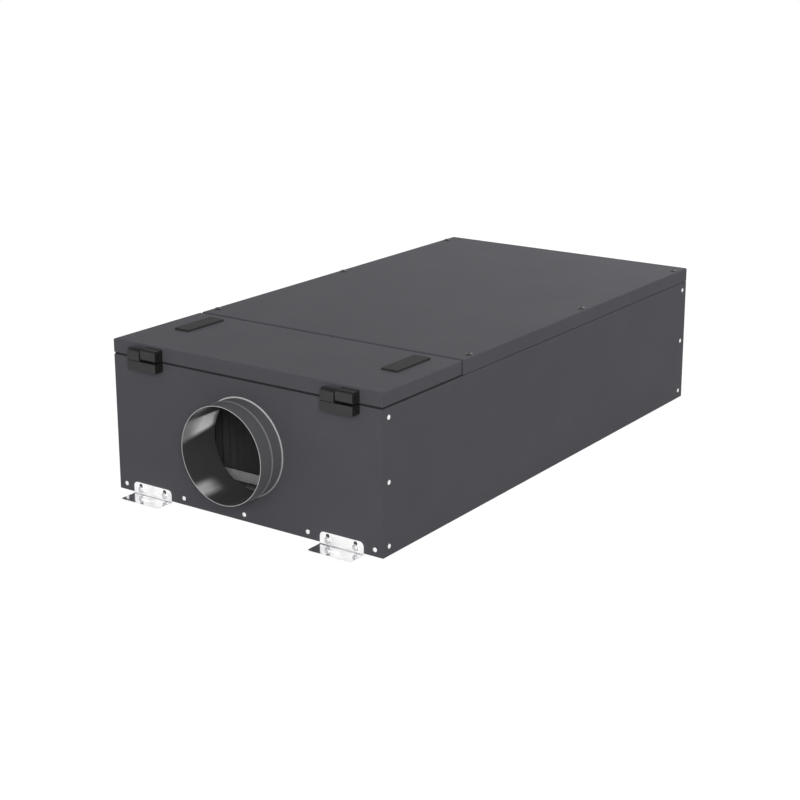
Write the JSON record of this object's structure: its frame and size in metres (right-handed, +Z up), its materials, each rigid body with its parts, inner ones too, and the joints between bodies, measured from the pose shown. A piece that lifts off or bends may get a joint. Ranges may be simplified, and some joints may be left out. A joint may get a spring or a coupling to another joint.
{
  "type": "air handling unit",
  "caption": "Flat supply air handling unit: folded sheet casing with a hinged filter lid, a screwed rear cover, round duct spigots at both ends and angle mounting brackets.",
  "frame": {"origin": "middle of the unit on the plane under the bracket feet", "axes": "+Z up, +Y from the hinged front to the rear along the air path, +X to the right seen from the front"},
  "size_m": [0.534, 1.1024, 0.2623],
  "materials": {
    "casing_paint": "dark grey powder coat, satin",
    "spigot_sheet": "dark grey outside, bright sheet inside",
    "galvanised_sheet": "galvanised, satin",
    "bright_zinc": "bright zinc plate",
    "black_plastic": "moulded, fine grain",
    "gasket_rubber": "matte foam rubber",
    "liner_foil": "foil-faced insulation",
    "filter_cloth": "pleated non-woven cloth",
    "motor_black": "matt black"
  },
  "bodies": {
    "casing": {"base_tray": "casing_paint", "left_side_panel": "casing_paint", "right_side_panel": "casing_paint", "front_panel": "casing_paint", "rear_panel": "casing_paint", "front_spigot": "spigot_sheet", "rear_spigot": "spigot_sheet", "floor_liner": "liner_foil", "left_liner": "liner_foil", "right_liner": "liner_foil", "front_liner": "liner_foil", "rear_liner": "liner_foil", "seam_rail": "galvanised_sheet", "lid_gasket": "gasket_rubber", "rear_cover": "casing_paint", "rear_cover_core": "liner_foil", "filter_frame": "galvanised_sheet", "filter_cloth": "filter_cloth", "filter_sill": "galvanised_sheet", "left_filter_guide": "galvanised_sheet", "right_filter_guide": "galvanised_sheet", "fan_bulkhead": "galvanised_sheet", "fan_inlet_ring": "galvanised_sheet", "fan_wheel": "motor_black", "fan_motor": "motor_black", "motor_bracket": "galvanised_sheet", "front_left_bracket": "bright_zinc", "front_right_bracket": "bright_zinc", "rear_left_bracket": "bright_zinc", "rear_right_bracket": "bright_zinc", "left_hinge_base": "black_plastic", "right_hinge_base": "black_plastic", "left_hinge_pin": "bright_zinc", "right_hinge_pin": "bright_zinc"},
    "lid": {"filter_lid": "casing_paint", "lid_core": "liner_foil", "left_hinge_leaf": "black_plastic", "right_hinge_leaf": "black_plastic", "left_grip": "black_plastic", "right_grip": "black_plastic"}
  },
  "joints": [
    {"name": "lid_hinge", "type": "hinge", "parent": "casing", "child": "lid", "pos_m": [0, -0.5093, 0.2466], "axis": [1, 0, 0], "range_deg": [0, 110]}
  ]
}
